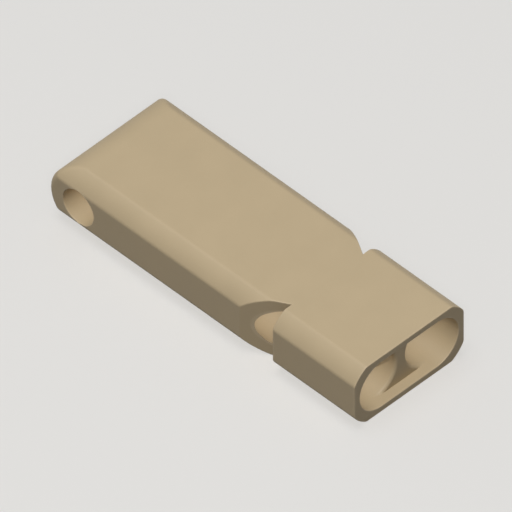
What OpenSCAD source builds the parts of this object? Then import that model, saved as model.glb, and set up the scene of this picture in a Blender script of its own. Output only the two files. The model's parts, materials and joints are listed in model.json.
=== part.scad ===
// Flat emergency whistle with two tubes and no pea.
// The breath enters the shared mouth pocket, runs over a wedge in each tube and leaves it as a thin sheet
// aimed at the sharp lip of a side window. The blind tube behind the lip sounds.
// The origin is under the middle of the body: X points out of the mouth, Y across the tubes, Z up.

/* [Tubes] */
// Diameter of each tube
tube_d = 8; // [7:0.5:10]
// Wall round the tubes: above, below and at the sides
wall = 1; // [0.8:0.1:1.6]
// Web between the tubes where it is thinnest
web = 2; // [1.5:0.25:3.5]
// Rounding of the web's edges in the mouth
web_rounding = 0.5; // [0.2:0.1:0.6]
// Sounding length of the low tube, from the window wall to its blind end
low_chamber = 30.5; // [24:0.5:40]
// How much shorter the high tube is
note_step = 4; // [1:0.5:8]

/* [Mouth] */
// Depth of the pocket that joins the tubes at the mouth
pocket_depth = 1.5; // [1:0.25:3]
// Open tube between the pocket floor and the toe of the fipple block
throat = 0.5; // [0.25:0.25:3]

/* [Fipple block] */
// Length of the block, from the window to where its toe runs out on the wall of the tube
block_length = 13; // [11:0.5:17]
// Height of the windway
windway = 1; // [0.6:0.1:1.6]
// Length of the straight windway, which ends at the window
windway_length = 2; // [1:0.25:4]
// Radius of the hollow toe that leads the breath onto the wedge
toe_radius = 4; // [2:0.5:5]
// Gap all round the block for the bond that holds it
bond_gap = 0.03; // [0.02:0.01:0.06]

/* [Window] */
// Length of a side window, from its square wall to the start of its ramp
window_length = 6; // [5:0.5:8]
// Slope of the ramp that ends in the sharp lip
ramp_angle = 30; // [26:1:35]

/* [Body] */
// Radius of the four long edges
edge_radius = 3; // [1.5:0.25:4]
// Rounding of the rear end's side edges
rear_rounding = 1; // [0.5:0.25:1.5]

/* [Lanyard hole] */
// Diameter of the hole across the rear end
hole_d = 5.5; // [4:0.25:6.5]
// Material between the hole and the rear end
hole_land = 2.75; // [2:0.25:5]
// Material between the hole and the low tube's blind end
rear_wall = 2.25; // [1.5:0.25:4]

/* [Hidden] */
$fn = 96;
// How far a cut runs past the face that it opens
over = 1;

// Stack across the body
tube_r = tube_d / 2;
tube_y = (tube_d + web) / 2;
body_height = tube_d + 2 * wall;
body_width = 2 * tube_d + web + 2 * wall;
mid_z = body_height / 2;
rear_radius = body_height / 2;

// Stack along the body
body_length = pocket_depth + throat + block_length + low_chamber + rear_wall + hole_d + hole_land;
mouth_x = body_length / 2;
rear_x = -body_length / 2;
floor_x = mouth_x - pocket_depth;
window_x = floor_x - throat - block_length;
hole_x = rear_x + hole_land + hole_d / 2;
window_depth = window_length * tan(ramp_angle);

// Profile of a fipple block, from the window wall and from the tube's web side
windway_floor = tube_d - windway;
run = block_length - windway_length;
rise = windway_floor - toe_radius;
wedge_angle = atan2(rise, run) + asin(toe_radius / norm([run, rise]));
hollow_x = block_length - toe_radius * sin(wedge_angle);
hollow_top = toe_radius * (1 - cos(wedge_angle));

khaki = [0.73, 0.66, 0.53];

// Rectangle with round corners, centred
module rounded_rect(w, h, r) {
  square([w - 2 * r, h], center = true);
  square([w, h - 2 * r], center = true);
  for (sx = [-1, 1], sy = [-1, 1])
    translate([sx * (w / 2 - r), sy * (h / 2 - r)]) circle(r);
}

// Stands a flat outline across the body at x and runs it towards the mouth
module run_along(x, length) {
  translate([x, 0, mid_z]) rotate([90, 0, 90]) linear_extrude(length) children();
}

// Lays a turned shape on a tube's axis, from x towards the mouth; side is 1 for left and -1 for right
module on_tube(side, x) {
  translate([x, side * tube_y, mid_z]) rotate([0, 90, 0]) children();
}

// Disc whose rim is the rear end and whose rounded edges soften its sides
module rear_disc() {
  r = rear_rounding;
  translate([rear_x + rear_radius, 0, mid_z]) rotate([90, 0, 0]) rotate_extrude()
    intersection() {
      rounded_rect(2 * rear_radius, body_width, r);
      translate([0, -body_width / 2]) square([rear_radius, body_width]);
    }
}

// Bar with round long edges, closed by the rear disc
module blank() {
  seam_x = rear_x + rear_radius;
  run_along(seam_x, mouth_x - seam_x) rounded_rect(body_width, body_height, edge_radius);
  intersection() {
    rear_disc();
    run_along(rear_x - over, seam_x - rear_x + over) rounded_rect(body_width, body_height, edge_radius);
  }
}

// Outline of the mouth pocket, whose round ends follow the tubes
module pocket_outline() {
  square([2 * tube_y, tube_d], center = true);
  for (side = [-1, 1]) translate([side * tube_y, 0]) circle(tube_r);
}

// Blind tube from the pocket floor to the end of its chamber
module tube_bore(side, chamber) {
  on_tube(side, window_x - chamber) cylinder(r = tube_r, h = floor_x - window_x + chamber);
}

// Flare that rounds the web's edge, kept inside the pocket's outline
module web_flare(side) {
  intersection() {
    on_tube(side, floor_x - web_rounding) rotate_extrude()
      difference() {
        square([tube_r + web_rounding, web_rounding]);
        translate([tube_r + web_rounding, 0]) circle(web_rounding);
      }
    run_along(floor_x - over, 2 * over) pocket_outline();
  }
}

// Side window: square wall towards the mouth, ramp towards the rear
module window_cut() {
  y = body_width / 2;
  translate([0, 0, -over]) linear_extrude(body_height + 2 * over)
    polygon([
      [window_x, y - window_depth],
      [window_x, y + over],
      [window_x - window_length - over / tan(ramp_angle), y + over]
    ]);
}

module body() {
  color(khaki) difference() {
    blank();
    run_along(floor_x, pocket_depth + over) pocket_outline();
    tube_bore(1, low_chamber);
    tube_bore(-1, low_chamber - note_step);
    for (side = [-1, 1]) web_flare(side);
    window_cut();
    mirror([0, 1, 0]) window_cut();
    translate([hole_x, 0, mid_z]) rotate([90, 0, 0])
      cylinder(d = hole_d, h = body_width + 2 * over, center = true);
  }
}

// Side of a fipple block: hollow toe, wedge, then the straight floor of the windway
module fipple_profile() {
  polygon([
    [0, -over],
    [hollow_x, -over],
    [hollow_x, hollow_top],
    [windway_length, windway_floor],
    [0, windway_floor]
  ]);
  difference() {
    translate([hollow_x, -over]) square([block_length - hollow_x, hollow_top + over]);
    translate([block_length, toe_radius]) circle(toe_radius);
  }
}

// Block on the web side of the left tube, whose wedge squeezes the breath into the windway
module fipple_block() {
  color(khaki) intersection() {
    on_tube(1, window_x) cylinder(r = tube_r - bond_gap, h = block_length);
    translate([window_x, tube_y - tube_r]) linear_extrude(body_height) fipple_profile();
  }
}

module fipple_block_left() {
  fipple_block();
}

module fipple_block_right() {
  mirror([0, 1, 0]) fipple_block();
}

body();
fipple_block_left();
fipple_block_right();
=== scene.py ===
# %% [markdown]
# # A flat emergency whistle
# The whistle is a bar of matte khaki plastic with two blind tubes inside. There is no ball in it: the
# breath enters a shared mouth, two wedges squeeze it into thin sheets, and each sheet strikes the sharp
# lip of a side window.
#
# The construction model gives the pieces and their places, with plain rounds along the body. This lesson
# keeps the places, makes the body again as a clean mesh with the shoulders and soft edges of a moulding,
# and gives it its finish.

# %% Load the frame
import json
from math import acos, asin, atan2, copysign, cos, pi, radians, sin, sqrt, tan

import bmesh
import bpy
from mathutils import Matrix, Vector

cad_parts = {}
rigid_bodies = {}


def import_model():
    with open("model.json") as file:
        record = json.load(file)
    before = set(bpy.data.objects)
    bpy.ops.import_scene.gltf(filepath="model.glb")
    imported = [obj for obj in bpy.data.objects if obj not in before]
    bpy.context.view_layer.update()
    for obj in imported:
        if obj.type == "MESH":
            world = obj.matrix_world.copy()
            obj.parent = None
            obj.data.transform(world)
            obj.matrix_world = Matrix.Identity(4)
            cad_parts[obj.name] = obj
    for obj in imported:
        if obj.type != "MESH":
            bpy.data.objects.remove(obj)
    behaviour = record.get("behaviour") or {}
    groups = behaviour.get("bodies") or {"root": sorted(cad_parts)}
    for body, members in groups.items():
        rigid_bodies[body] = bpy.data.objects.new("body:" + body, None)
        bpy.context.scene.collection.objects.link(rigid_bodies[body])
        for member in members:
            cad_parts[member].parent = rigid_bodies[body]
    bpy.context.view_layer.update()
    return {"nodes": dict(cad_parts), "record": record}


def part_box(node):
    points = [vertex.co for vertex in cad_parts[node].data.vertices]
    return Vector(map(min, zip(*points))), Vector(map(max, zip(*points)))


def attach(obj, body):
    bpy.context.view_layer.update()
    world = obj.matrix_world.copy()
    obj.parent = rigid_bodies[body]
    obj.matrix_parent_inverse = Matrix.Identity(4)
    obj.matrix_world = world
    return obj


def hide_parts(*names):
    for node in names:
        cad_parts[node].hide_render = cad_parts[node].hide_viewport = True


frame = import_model()
print("pieces in the frame:", sorted(frame["nodes"]))

# %% [markdown]
# ## Sizes
# Blender works in metres, and a whistle is drawn in millimetres, so each size is a number times MM. All
# of them could be typed in. What the frame knows is read from it instead, so that the two models can't
# drift apart: the body's box, the window wall, which is where the fipple blocks end, and the lanyard
# hole. The rest is what a maker's drawing says.

# %% Sizes read from the frame
MM = 0.001
body_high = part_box("body")[1]
mouth_x = body_high.x
# The frame's mesh cuts the round rear end a little short, and the origin is in the body's middle.
rear_x = -mouth_x
half_width = body_high.y
height = body_high.z
mid_z = height / 2
window_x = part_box("fipple_block_left")[0].x
mounts = {mount["name"]: mount for mount in frame["record"]["mounts"]}
hole_place = Vector(mounts["lanyard_hole"]["pos_m"])
hole_radius = mounts["lanyard_hole"]["dims"]["r_mm"] * MM
print(f"body {2 * mouth_x / MM:.1f} x {2 * half_width / MM:.1f} x {height / MM:.1f} mm")

# %% Sizes from the drawing
shoulder_radius = 5.72 * MM
soft_radius = 1 * MM
edge_break = 0.12 * MM
tube_radius = 4 * MM
tube_y = 5 * MM
pocket_depth = 1.5 * MM
web_rounding = 0.5 * MM
low_chamber = 30.5 * MM
high_chamber = 26.5 * MM
window_length = 6 * MM
ramp_angle = radians(30)
floor_x = mouth_x - pocket_depth
print(f"tubes {2 * tube_radius / MM:.1f} mm wide, {2 * tube_y / MM:.1f} mm apart")

# %% [markdown]
# ## The outer skin
# Seen from the mouth, the whistle is flat above and below and flat at its sides. Between the flats it has
# round shoulders, which follow the tubes inside. The rear end is a full round. Where these surfaces meet,
# a small radius softens the line. A bevel on a finished mesh struggles there, because the line along a
# shoulder fades out where it runs over the rear end.
#
# So the skin is laid from ribs, as a boat's is. Imagine a ball of the small radius rolling along the
# inside of those lines. Each rib belongs to one place of the ball: it comes back from the mouth, bends
# over the ball, crosses the round rear end and returns to the mouth on the other side.

# %% Core that the ball rolls on
core_top = mid_z - soft_radius
core_side = half_width - soft_radius
core_shoulder = shoulder_radius - soft_radius
top_line_y = tube_y + sqrt(core_shoulder**2 - core_top**2)
side_line_z = sqrt(core_shoulder**2 - (core_side - tube_y)**2)
top_turn = atan2(top_line_y - tube_y, core_top)
side_turn = atan2(core_side - tube_y, side_line_z)
print(f"flat top {2 * top_line_y / MM:.2f} mm wide, flat sides {2 * side_line_z / MM:.2f} mm high")

# %% Places of the rolling ball
LINE_STEPS = 8
SHOULDER_STEPS = 18
SIDE_STEPS = 4

# A place is the way that the skin faces there, as a turn from straight up, and the ball's y and z. They
# run over the upper line, down the shoulder, over the lower line and down the flat side.
places = [(top_turn * step / LINE_STEPS, top_line_y, core_top) for step in range(LINE_STEPS)]
side_lean = acos(side_line_z / core_top)
for step in range(SHOULDER_STEPS + 1):
    z = core_top * cos(side_lean * step / SHOULDER_STEPS)
    turn = acos(z / core_shoulder)
    places.append((turn, tube_y + core_shoulder * sin(turn), z))
for step in range(1, LINE_STEPS + 1):
    places.append((side_turn + (pi / 2 - side_turn) * step / LINE_STEPS, core_side, side_line_z))
for step in range(1, SIDE_STEPS):
    places.append((pi / 2, core_side, side_line_z * (1 - step / SIDE_STEPS)))
print("places of the ball above the middle:", len(places))

# %% One rib
BREAK_STEPS = 4
seam_x = rear_x + mid_z


def rib(turn, y, z):
    """Points from the mouth's rim along the left side, over the rear end and back along the right side."""
    outward = Vector((0, sin(turn), cos(turn)))
    lean = acos(min(z / core_top, 1))
    rearward = Vector((-sin(lean), 0, cos(lean)))
    ball = Vector((seam_x - core_top * sin(lean), y, z + mid_z))
    half = []
    for step in range(BREAK_STEPS + 1):
        angle = pi / 2 * (1 - step / BREAK_STEPS)
        point = ball + outward * (soft_radius - edge_break * (1 - cos(angle)))
        point.x = mouth_x - edge_break * (1 - sin(angle))
        half.append(point)
    for step in range(LINE_STEPS + 1):
        if lean > 0:
            facing = outward.slerp(rearward, step / LINE_STEPS)
        else:
            # On the top line all ribs end on one arc of the ball, each at its own turn.
            angle = min(turn, top_turn * (1 - step / LINE_STEPS))
            facing = Vector((0, sin(angle), cos(angle)))
        half.append(ball + soft_radius * facing)
    return half + [Vector((point.x, -point.y, point.z)) for point in reversed(half)]


def upside_down(points):
    """The mirror image of a rib, below the middle of the body."""
    return [Vector((point.x, point.y, height - point.z)) for point in points]


upper_ribs = [rib(*spot) for spot in places]
lower_ribs = [upside_down(points) for points in reversed(upper_ribs)]
print("points in a rib:", len(upper_ribs[0]))

# %% Skin laid over the ribs
bm = bmesh.new()


def points_to_row(points):
    """One row of the mesh from a list of places."""
    return [bm.verts.new(point) for point in points]


def lay(rows, closed=False):
    """Fills the space between neighbouring rows with four-sided faces."""
    for row, after in zip(rows, rows[1:]):
        count = len(row)
        for here in range(count if closed else count - 1):
            there = (here + 1) % count
            bm.faces.new((row[here], row[there], after[there], after[here]))


middle_rib = rib(pi / 2, core_side, 0)
ribs = [points_to_row(points) for points in upper_ribs + [middle_rib] + lower_ribs]
lay(ribs)
# A flat rib reaches the rear end right after its rim, and the rest of its points lie there too.
to_the_rear = BREAK_STEPS + 2
for flat_rib in (ribs[0], ribs[-1]):
    left = flat_rib[:to_the_rear]
    right = flat_rib[::-1][:to_the_rear]
    lay([left, right])
print("skin faces:", len(bm.faces))

# %% [markdown]
# ## The breath passages
# Two straight tubes run in from the mouth. A shallow pocket joins them there, so that one breath feeds
# both, and the web between them has rounded edges, which split the breath without a hiss.
#
# The tubes could be bored with cylinders and a boolean, but the web's rounded edges would then need a
# bevel that ends in thin air. So each tube is a stack of rings. Towards the mouth the rings open out on
# the web's side only, as far as the pocket's flat top and bottom allow, and that gives the rounded web
# without any cutting.

# %% Rings of a tube
OUTER_STEPS = 24
FLAT_STEPS = 4
WEB_STEPS = 16
FLARE_STEPS = 6
SLACK = 1e-6
meet_angle = pi - asin(tube_radius / (tube_radius + web_rounding))
half_ring = [pi / 2 * step / OUTER_STEPS for step in range(OUTER_STEPS)]
half_ring += [pi / 2 + (meet_angle - pi / 2) * step / FLAT_STEPS for step in range(FLAT_STEPS)]
half_ring += [meet_angle + (pi - meet_angle) * step / WEB_STEPS for step in range(WEB_STEPS + 1)]
ring_angles = half_ring + [2 * pi - angle for angle in reversed(half_ring[1:-1])]


def tube_ring(side, x, reach):
    """A ring of the tube on one side, which reaches further out where it faces the web."""
    row = []
    for angle in ring_angles:
        out = tube_radius
        if cos(angle) < -SLACK:
            out = min(reach, tube_radius / max(abs(sin(angle)), SLACK))
        row.append((x, side * (tube_y + out * cos(angle)), mid_z + out * sin(angle)))
    return points_to_row(row)


def tube(side, chamber):
    """A blind tube, from its end to the pocket's floor. Returns its last ring."""
    rings = [tube_ring(side, window_x - chamber, tube_radius)]
    for step in range(FLARE_STEPS + 1):
        angle = pi / 2 * step / FLARE_STEPS
        x = floor_x - web_rounding * (1 - sin(angle))
        rings.append(tube_ring(side, x, tube_radius + web_rounding * (1 - cos(angle))))
    lay(rings, closed=True)
    bm.faces.new(rings[0])
    return rings[-1]


left_ring = tube(1, low_chamber)
right_ring = tube(-1, high_chamber)
print("points in a ring:", len(ring_angles))

# %% Web and pocket
to_pocket = [k for k, angle in enumerate(ring_angles) if cos(angle) > cos(meet_angle) - SLACK]
to_pocket.sort(key=lambda k: (ring_angles[k] + pi) % (2 * pi))
to_web = [k for k, angle in enumerate(ring_angles) if cos(angle) < cos(meet_angle) + SLACK]

bm.faces.new([left_ring[k] for k in to_web] + [right_ring[k] for k in reversed(to_web)])

outline = [(1, k) for k in to_pocket] + [(-1, k) for k in reversed(to_pocket)]
pocket_rows = [[(left_ring if side > 0 else right_ring)[k] for side, k in outline]]
for step in range(BREAK_STEPS + 1):
    angle = pi / 2 * step / BREAK_STEPS
    row = []
    for (side, k), corner in zip(outline, pocket_rows[0]):
        turn = ring_angles[k]
        outward = Vector((0, side * max(cos(turn), 0), sin(turn))).normalized()
        point = corner.co + outward * edge_break * (1 - cos(angle))
        point.x = mouth_x - edge_break * (1 - sin(angle))
        row.append(point)
    pocket_rows.append(points_to_row(row))
lay(pocket_rows, closed=True)
print("rows of the pocket:", len(pocket_rows))

# %% Mouth face and closed blank
WELD = 0.001 * MM
ONE_PLANE = radians(0.2)
rim = [row[0] for row in ribs] + [row[-1] for row in reversed(ribs)]
face_edges = []
for loop in (rim, pocket_rows[-1]):
    face_edges += [bm.edges.get((loop[k - 1], loop[k])) for k in range(len(loop))]
bmesh.ops.triangle_fill(bm, use_beauty=True, edges=face_edges, normal=(1, 0, 0))
bmesh.ops.remove_doubles(bm, verts=bm.verts, dist=WELD)
bmesh.ops.recalc_face_normals(bm, faces=bm.faces)
bmesh.ops.dissolve_limit(bm, angle_limit=ONE_PLANE, verts=bm.verts, edges=bm.edges)
open_edges = sum(len(edge.link_faces) != 2 for edge in bm.edges)
print(f"blank with tubes: {len(bm.faces)} faces, {open_edges} open edges")
print(f"plastic in the blank: {bm.calc_volume() / MM**3:.1f} cubic mm")

# %% Blank as an object
khaki = bpy.data.materials.new("khaki_moulded_plastic")
khaki.use_nodes = True
body_mesh = bpy.data.meshes.new("whistle_body")
body_mesh.materials.append(khaki)
bm.to_mesh(body_mesh)
bm.free()
body = bpy.data.objects.new("whistle_body", body_mesh)
bpy.context.scene.collection.objects.link(body)
print(f"blank: {body.dimensions.x / MM:.1f} mm long")

# %% [markdown]
# ## Cutting the windows and the lanyard hole
# In the mould, slides that draw out sideways leave the two windows and the hole. They could be cut by
# hand with a few booleans. A Geometry Nodes tree is chosen instead, because its inputs keep the sizes by
# name and one window outline serves both sides: it is filled, extruded and mirrored.
#
# The hole is a cylinder with a shallow cone at each end, which takes the knife edge off its rim. That rim
# runs from the flat side into the soft lines above and below it, so the cones are bent to follow the
# skin. One boolean takes everything away.

# %% Inputs of the cutting tree
def put(tree, kind, settings=None, inputs=None):
    """Adds a node to a tree, sets its options, and fills its sockets with values or links."""
    made = tree.nodes.new(kind)
    for name, value in (settings or {}).items():
        setattr(made, name, value)
    for name, value in (inputs or {}).items():
        if isinstance(value, bpy.types.NodeSocket):
            tree.links.new(value, made.inputs[name])
        else:
            made.inputs[name].default_value = value
    return made


cutting = bpy.data.node_groups.new("window_and_hole_cuts", "GeometryNodeTree")
for way in ("INPUT", "OUTPUT"):
    cutting.interface.new_socket("Geometry", in_out=way, socket_type="NodeSocketGeometry")
cut_sizes = {
    "Half width": half_width,
    "Body height": height,
    "Flat half": side_line_z,
    "Soft radius": soft_radius,
    "Edge break": edge_break,
    "Window wall": window_x,
    "Window length": window_length,
    "Ramp angle": ramp_angle,
    "Hole place": hole_place.x,
    "Hole radius": hole_radius,
}
cut_sockets = {}
for name in cut_sizes:
    socket = cutting.interface.new_socket(name, in_out="INPUT", socket_type="NodeSocketFloat")
    cut_sockets[name] = socket.identifier
given = put(cutting, "NodeGroupInput").outputs
print("inputs of the cutting tree:", ", ".join(cut_sockets))

# %% Outline of a window
OVER = 1 * MM


def calculate(operation, first, second=0.0, tree=cutting):
    """One step of arithmetic in a tree, such as ADD, DIVIDE or TANGENT."""
    return put(tree, "ShaderNodeMath", {"operation": operation}, {0: first, 1: second}).outputs[0]


def place(x, y, z):
    """A point in the cutting tree."""
    return put(cutting, "ShaderNodeCombineXYZ", inputs={"X": x, "Y": y, "Z": z}).outputs[0]


slope = calculate("TANGENT", given["Ramp angle"])
depth = calculate("MULTIPLY", given["Window length"], slope)
bottom_y = calculate("SUBTRACT", given["Half width"], depth)
outer_y = calculate("ADD", given["Half width"], OVER)
ramp_x = calculate("SUBTRACT", given["Window wall"], given["Window length"])
outer_x = calculate("SUBTRACT", ramp_x, calculate("DIVIDE", OVER, slope))
# The fourth point lies on the ramp, where it leaves the skin.
corners = {
    "Point 1": place(given["Window wall"], bottom_y, -OVER),
    "Point 2": place(given["Window wall"], outer_y, -OVER),
    "Point 3": place(outer_x, outer_y, -OVER),
    "Point 4": place(ramp_x, given["Half width"], -OVER),
}
four_points = {"mode": "POINTS"}
outline_of_window = put(cutting, "GeometryNodeCurvePrimitiveQuadrilateral", four_points, corners).outputs[0]
print(f"window: {window_length / MM:.1f} mm long, {window_length * tan(ramp_angle) / MM:.2f} mm deep")

# %% Windows as solids
filled = put(cutting, "GeometryNodeFillCurve", {"mode": "NGONS"}, {"Curve": outline_of_window}).outputs[0]
rise = {"Offset": place(0, 0, 1), "Offset Scale": calculate("ADD", given["Body height"], 2 * OVER)}
raised = put(cutting, "GeometryNodeExtrudeMesh", inputs={"Mesh": filled} | rise).outputs["Mesh"]
underside = put(cutting, "GeometryNodeFlipFaces", inputs={"Mesh": filled}).outputs[0]
joined = put(cutting, "GeometryNodeJoinGeometry")
for half in (raised, underside):
    cutting.links.new(half, joined.inputs[0])
closed = {"Geometry": joined.outputs[0], "Distance": WELD}
left_cut = put(cutting, "GeometryNodeMergeByDistance", inputs=closed).outputs[0]
across = {"Geometry": left_cut, "Scale": (1, -1, 1)}
mirrored = put(cutting, "GeometryNodeTransform", inputs=across).outputs[0]
right_cut = put(cutting, "GeometryNodeFlipFaces", inputs={"Mesh": mirrored}).outputs[0]
window_cuts = [left_cut, right_cut]
print("solids that cut the windows:", len(window_cuts))

# %% Bar and cone for the hole
HOLE_SIDES = 96
bar_sizes = {
    "Vertices": HOLE_SIDES,
    "Radius": given["Hole radius"],
    "Depth": calculate("MULTIPLY", outer_y, 2),
}
bar = put(cutting, "GeometryNodeMeshCylinder", inputs=bar_sizes).outputs["Mesh"]
rim_radius = calculate("ADD", given["Hole radius"], given["Edge break"])
cone_sizes = {
    "Vertices": HOLE_SIDES,
    "Radius Top": calculate("ADD", rim_radius, OVER),
    "Radius Bottom": calculate("SUBTRACT", given["Hole radius"], OVER),
    "Depth": calculate("ADD", given["Edge break"], 2 * OVER),
}
cone = put(cutting, "GeometryNodeMeshCone", {"fill_type": "TRIANGLE_FAN"}, cone_sizes).outputs["Mesh"]
print(f"hole: {2 * hole_radius / MM:.2f} mm wide, {2 * (hole_radius + edge_break) / MM:.2f} mm at its rim")

# %% Cone bent to follow the skin
here = put(cutting, "GeometryNodeInputPosition").outputs[0]
around = put(cutting, "ShaderNodeVectorMath", {"operation": "MULTIPLY"}, {0: here, 1: (1, 1, 0)}).outputs[0]
unit = put(cutting, "ShaderNodeVectorMath", {"operation": "NORMALIZE"}, {0: around}).outputs[0]
share = calculate("ABSOLUTE", put(cutting, "ShaderNodeSeparateXYZ", inputs={0: unit}).outputs["Y"])
axis_z = calculate("DIVIDE", given["Body height"], 2)
rim_z = calculate("MULTIPLY", share, rim_radius)
past_flat = calculate("MAXIMUM", calculate("SUBTRACT", rim_z, given["Flat half"]), 0)
whole = calculate("POWER", given["Soft radius"], 2)
left_over = calculate("SUBTRACT", whole, calculate("POWER", past_flat, 2))
drop = calculate("SUBTRACT", calculate("SQRT", left_over), given["Soft radius"])
moved = {"Geometry": cone, "Offset": place(0, 0, drop)}
bent_cone = put(cutting, "GeometryNodeSetPosition", inputs=moved).outputs[0]

left_y = calculate("SUBTRACT", calculate("SUBTRACT", given["Half width"], given["Edge break"]), OVER)
right_y = calculate("MULTIPLY", left_y, -1)
hole_cuts = []
for tool, y, lean in ((bar, 0, pi / 2), (bent_cone, left_y, -pi / 2), (bent_cone, right_y, pi / 2)):
    spot = place(given["Hole place"], y, axis_z)
    laid = {"Geometry": tool, "Translation": spot, "Rotation": (lean, 0, 0)}
    hole_cuts.append(put(cutting, "GeometryNodeTransform", inputs=laid).outputs[0])
print("solids that cut the hole:", len(hole_cuts))

# %% The cut and its sizes
cut_way = {"operation": "DIFFERENCE", "solver": "EXACT"}
cut = put(cutting, "GeometryNodeMeshBoolean", cut_way, {"Mesh 1": given["Geometry"]})
for tool in window_cuts + hole_cuts:
    cutting.links.new(tool, cut.inputs["Mesh 2"])
real = put(cutting, "GeometryNodeRealizeInstances", inputs={"Geometry": cut.outputs["Mesh"]}).outputs[0]
painted = put(cutting, "GeometryNodeSetMaterial", inputs={"Geometry": real, "Material": khaki}).outputs[0]
put(cutting, "NodeGroupOutput", inputs={"Geometry": painted})

cutter = body.modifiers.new("window_and_hole_cuts", "NODES")
cutter.node_group = cutting
for name, value in cut_sizes.items():
    cutter[cut_sockets[name]] = value
print("nodes in the cutting tree:", len(cutting.nodes))

# %% [markdown]
# ## Soft edges and shading
# A mould leaves no knife edge on the outside, and fingers and pockets take off the rest. A Bevel modifier
# would also reach the sharp lips inside the windows, which the sound needs. So the result of the tree is
# taken as a plain mesh, and only the outer edges of the windows are bevelled: those that stick out and
# lie off the tubes.
#
# Then everything is shaded smooth except where the surface turns sharply. Weighted normals keep the large
# flat faces flat right up to their soft borders. Beside the hole they lean, because it cuts the soft lines
# into long and short strips. The drawing says which way the skin faces at every point, so there the exact
# direction is set.

# %% Body as a plain mesh
def freeze(piece):
    """Replaces a piece's mesh by the result of its modifiers, and takes the modifiers off."""
    finished = piece.evaluated_get(bpy.context.evaluated_depsgraph_get())
    piece.data = bpy.data.meshes.new_from_object(finished)
    piece.modifiers.clear()
    return piece.data


SHORTEST_EDGE = 0.01 * MM
body_mesh = freeze(body)
bm = bmesh.new()
bm.from_mesh(body_mesh)
bmesh.ops.remove_doubles(bm, verts=bm.verts, dist=SHORTEST_EDGE)
print("body after the cuts:", len(bm.faces), "faces")

# %% Soft edges round the windows
NEAR = 0.05 * MM
CORNER = radians(15)
EDGE_STEPS = 3
ROUND = 0.5
window_edges = []
for edge in bm.edges:
    spot = (edge.verts[0].co + edge.verts[1].co) / 2
    off_axis = Vector((abs(spot.y) - tube_y, spot.z - mid_z)).length
    beside_window = 0 < spot.x < window_x + NEAR
    on_skin = off_axis > tube_radius + NEAR
    if beside_window and on_skin and edge.is_convex and edge.calc_face_angle() > CORNER:
        window_edges.append(edge)
soften = {"offset": edge_break, "segments": EDGE_STEPS, "profile": ROUND, "affect": "EDGES"}
# A material of -1 gives the new faces the finish of their neighbours.
bmesh.ops.bevel(bm, geom=window_edges, material=-1, **soften)
# The bevel can push a point a little past the top or the bottom, and it is set back there.
for vert in bm.verts:
    vert.co.z = min(max(vert.co.z, 0), height)
bmesh.ops.recalc_face_normals(bm, faces=bm.faces)
open_edges = sum(len(edge.link_faces) != 2 for edge in bm.edges)
print(f"{len(window_edges)} edges softened; {len(bm.faces)} faces, {open_edges} open edges")
print(f"plastic in the body: {bm.calc_volume() / MM**3:.1f} cubic mm")
bm.to_mesh(body_mesh)
bm.free()

# %% Shading
SHARP = radians(65)
body_mesh.shade_smooth()
body_mesh.set_sharp_from_angle(angle=SHARP)
print("sharp edges:", sum(edge.use_edge_sharp for edge in body_mesh.edges))
even = body.modifiers.new("flat_faces_stay_flat", "WEIGHTED_NORMAL")
even.keep_sharp = True
body_mesh = freeze(body)

# %% Exact normals on the skin
SKIN_SLACK = 0.004 * MM


def straight_out(point):
    """The direction straight out of the bar at a point of its skin, or None off the skin."""
    y, z = abs(point.y), abs(point.z - mid_z)
    turn = atan2(y - tube_y, z)
    if turn < top_turn:
        nearest = Vector((0, min(y, top_line_y), core_top))
    elif turn > side_turn:
        nearest = Vector((0, core_side, min(z, side_line_z)))
    else:
        nearest = Vector((0, tube_y + core_shoulder * sin(turn), core_shoulder * cos(turn)))
    out = Vector((0, y, z)) - nearest
    if abs(out.length - soft_radius) > SKIN_SLACK:
        return None
    return Vector((0, copysign(out.y, point.y), copysign(out.z, point.z - mid_z))).normalized()


normals = [corner.vector.copy() for corner in body_mesh.corner_normals]
corrected = 0
for face in body_mesh.polygons:
    for corner in face.loop_indices:
        out = straight_out(body_mesh.vertices[body_mesh.loops[corner].vertex_index].co)
        if out and out.dot(face.normal) > cos(SHARP):
            normals[corner] = out
            corrected += 1
body_mesh.normals_split_custom_set(normals)
print("corners with an exact normal:", corrected, "of", len(normals))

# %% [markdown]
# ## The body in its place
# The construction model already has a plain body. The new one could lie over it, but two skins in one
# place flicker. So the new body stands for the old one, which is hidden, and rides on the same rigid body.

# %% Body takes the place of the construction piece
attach(body, "root")
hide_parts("body")
print("body:", len(body_mesh.vertices), "points,", len(body_mesh.polygons), "faces")

# %% [markdown]
# ## The finish
# The whistle is moulded in coloured plastic, with a fine matte grain from the mould. The colour is the
# plastic's own, so it only drifts a little, in soft clouds, where the pigment is not quite even. The
# grain is a bump far finer than the eye can count, and it scatters the gloss.
#
# Keys and cloth rub the outer edges a little paler and smoother. That wear could be painted by hand. Here
# the Ambient Occlusion node finds the edges instead: turned to look inside, it meets another face only
# close to an edge that sticks out.

# %% Edges that are rubbed
rub_reach = 0.35 * MM
rub_spacing = 1.4 * MM
rub_detail = 2
rub_samples = 8
# The share of a look inside that is still free where rubbing starts, and where it is strongest.
rub_starts = 0.95
rub_full = 0.5


def pattern(tree, spacing, detail):
    """Soft random patches on a piece, about as far apart as the spacing says."""
    where = put(tree, "ShaderNodeTexCoord").outputs["Object"]
    patches = {"Vector": where, "Scale": 1 / spacing, "Detail": detail}
    return put(tree, "ShaderNodeTexNoise", inputs=patches).outputs["Fac"]


def ranged(tree, value, start, end, low=0.0, high=1.0):
    """A value moved from one range to another."""
    span = {"Value": value, "From Min": start, "From Max": end, "To Min": low, "To Max": high}
    return put(tree, "ShaderNodeMapRange", inputs=span).outputs[0]


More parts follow.
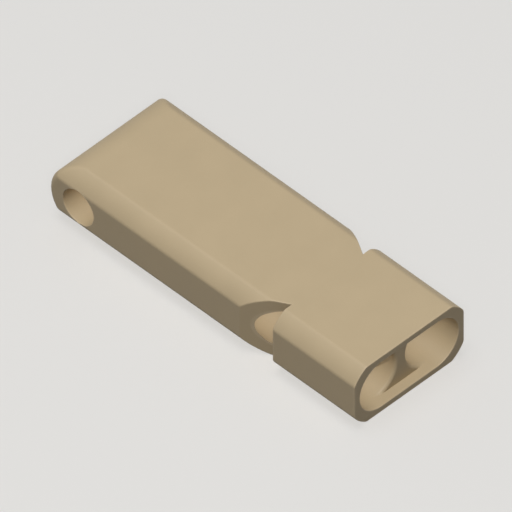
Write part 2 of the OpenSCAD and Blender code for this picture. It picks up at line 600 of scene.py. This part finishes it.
def rubbed_edges(tree):
    """A value that is high on edges that stick out, and uneven, as real rubbing is."""
    looking_in = {"inside": True, "only_local": True, "samples": rub_samples}
    inside = put(tree, "ShaderNodeAmbientOcclusion", looking_in, {"Distance": rub_reach}).outputs["AO"]
    edges = ranged(tree, inside, rub_starts, rub_full)
    return calculate("MULTIPLY", edges, pattern(tree, rub_spacing, rub_detail), tree)


print(f"rubbed edges are up to {rub_reach / MM:.2f} mm wide")

# %% Moulded plastic
khaki_tones = {"deep": (0.470, 0.371, 0.229), "light": (0.524, 0.413, 0.257), "rubbed": (0.62, 0.50, 0.33)}
cloud_spacing = 5.5 * MM
cloud_detail = 3
grain_spacing = 0.125 * MM
grain_detail = 2
grain_depth = 0.03 * MM
grain_strength = 0.5
matt_range = (0.52, 0.62)
rub_polish = 0.2
plastic_ior = 1.5


def mix_colours(tree, factor, first, second):
    """A colour between two others. The colours of a Mix node are its sockets 6 and 7, and output 2."""
    return put(tree, "ShaderNodeMix", {"data_type": "RGBA"}, {0: factor, 6: first, 7: second}).outputs[2]


def moulded_plastic(material, shade):
    """Builds the finish of a moulding in khaki plastic. A shade below 1 darkens every tone: painted shade.
    """
    tree = material.node_tree
    tree.nodes.clear()
    tones = {name: [shade * part for part in tone] + [1] for name, tone in khaki_tones.items()}
    clouds = pattern(tree, cloud_spacing, cloud_detail)
    rubbed = rubbed_edges(tree)
    pigment = mix_colours(tree, clouds, tones["deep"], tones["light"])
    bumps = pattern(tree, grain_spacing, grain_detail)
    grain = {"Height": bumps, "Strength": grain_strength, "Distance": grain_depth}
    matt = ranged(tree, clouds, 0, 1, *matt_range)
    polish = calculate("MULTIPLY", rubbed, rub_polish, tree)
    plastic = {
        "Base Color": mix_colours(tree, rubbed, pigment, tones["rubbed"]),
        "Roughness": calculate("SUBTRACT", matt, polish, tree),
        "Normal": put(tree, "ShaderNodeBump", inputs=grain).outputs[0],
        "IOR": plastic_ior,
    }
    shader = put(tree, "ShaderNodeBsdfPrincipled", inputs=plastic).outputs[0]
    put(tree, "ShaderNodeOutputMaterial", inputs={"Surface": shader})
    print(material.name, "has", len(tree.nodes), "nodes")


moulded_plastic(khaki, 1)

# %% [markdown]
# ## The fipple blocks
# A block in each tube squeezes the breath into a thin sheet. Through the near mouth its hollow toe shows
# as a darker strip with a sharp border. The blocks could be made again as the body was, but the
# construction model has their exact shape, and no edge of theirs is seen from close by. So they stay as
# they are and get the same finish with painted shade: their colour is darkened, so that the strip can be
# seen.

# %% Finish on the blocks, with painted shade
block_khaki_painted_shade = bpy.data.materials.new("khaki_block_plastic_painted_shade")
block_khaki_painted_shade.use_nodes = True
# The blocks' tones are scaled down. This is painted shade, which makes the toe read as a darker strip.
block_painted_shade = 0.8
moulded_plastic(block_khaki_painted_shade, block_painted_shade)
for name in ("fipple_block_left", "fipple_block_right"):
    block = frame["nodes"][name]
    block.material_slots[0].material = block_khaki_painted_shade
    print(name, "has", len(block.data.polygons), "faces and the finish", block_khaki_painted_shade.name)

# %% [markdown]
# ## Studio
# The whistle lies on a plain pale floor, and the camera looks down at its mouth from a corner, without
# perspective. Bright top, darker near side and darkest mouth face come from three soft lights. One hangs
# overhead and lays the shadow on the floor. A second fills the room without a shadow, so that the inside
# of the tubes can be seen, and a third stands beside the camera.
#
# A pale floor and room would also throw light at the sides and wash them out. So both are pale only for
# what the eye sees, directly or in a reflection, and dull for the light that bounces.

# %% Camera
middle = Vector((0, 0, mid_z))
# Half way round from the mouth to the near side, and half way up.
sight = Vector((0.5, -0.5, 0.5**0.5))
camera_distance = 0.4
picture_width = 66.107 * MM
lens = bpy.data.cameras.new("corner_view")
lens.type = "ORTHO"
lens.ortho_scale = picture_width
camera = bpy.data.objects.new("corner_view", lens)
camera.location = middle + camera_distance * sight
camera.rotation_euler = (-sight).to_track_quat("-Z", "Y").to_euler()
bpy.context.scene.collection.objects.link(camera)
bpy.context.scene.camera = camera
print(f"the picture is {picture_width / MM:.1f} mm wide")

# %% Floor
floor_size = 4
# The floor lies a hair below the whistle, because two faces in one plane flicker when seen from below.
floor_gap = 0.02 * MM
floor_tone = (0.80, 0.79, 0.77, 1)
dull = (0.11, 0.11, 0.11, 1)


def pale_for_the_eye(tree, pale):
    """A colour that is pale where the eye sees it and dull for the light that bounces."""
    rays = put(tree, "ShaderNodeLightPath").outputs
    shown = calculate("MAXIMUM", rays["Is Camera Ray"], rays["Is Glossy Ray"], tree)
    shown = calculate("MAXIMUM", shown, rays["Is Transmission Ray"], tree)
    return mix_colours(tree, shown, dull, pale)


floor_paint = bpy.data.materials.new("pale_floor")
floor_paint.use_nodes = True
tree = floor_paint.node_tree
tree.nodes.clear()
paint = put(tree, "ShaderNodeBsdfDiffuse", inputs={"Color": pale_for_the_eye(tree, floor_tone)}).outputs[0]
put(tree, "ShaderNodeOutputMaterial", inputs={"Surface": paint})
bpy.ops.mesh.primitive_plane_add(size=floor_size, location=(0, 0, -floor_gap))
floor = bpy.context.object
floor.name = "studio_floor"
floor.data.materials.append(floor_paint)
print(f"floor: {floor_size} m square")

# %% Room
room_tone = (0.73, 0.72, 0.70, 1)
room = bpy.data.worlds.new("pale_room")
room.use_nodes = True
tree = room.node_tree
tree.nodes.clear()
glow = put(tree, "ShaderNodeBackground", inputs={"Color": pale_for_the_eye(tree, room_tone)}).outputs[0]
put(tree, "ShaderNodeOutputWorld", inputs={"Surface": glow})
bpy.context.scene.world = room
bpy.context.scene.view_settings.view_transform = "Standard"
print("room:", room.name)

# %% Lights
lamp_distance = 2.4
wide = 1.2
narrow = 0.48
overhead_way = Vector((-0.03, -0.03, 0.24))
overhead_power = 5.0
glow_way = Vector((0.05, -0.142, 0.526))
glow_power = 42.8
camera_power = 4.2


def soft_light(name, way, power, size, shadow=True):
    """A round soft light that shines on the whistle from the given direction."""
    lamp = bpy.data.lights.new(name, "AREA")
    lamp.energy = power
    lamp.shape = "DISK"
    lamp.size = size
    lamp.use_shadow = shadow
    stand = bpy.data.objects.new(name, lamp)
    stand.location = middle + lamp_distance * way.normalized()
    stand.rotation_euler = (-way).to_track_quat("-Z", "Y").to_euler()
    bpy.context.scene.collection.objects.link(stand)
    print(f"{name}: {power} W, {size} m across")


soft_light("overhead", overhead_way, overhead_power, wide)
soft_light("room_glow", glow_way, glow_power, wide, shadow=False)
soft_light("beside_the_camera", sight, camera_power, narrow)
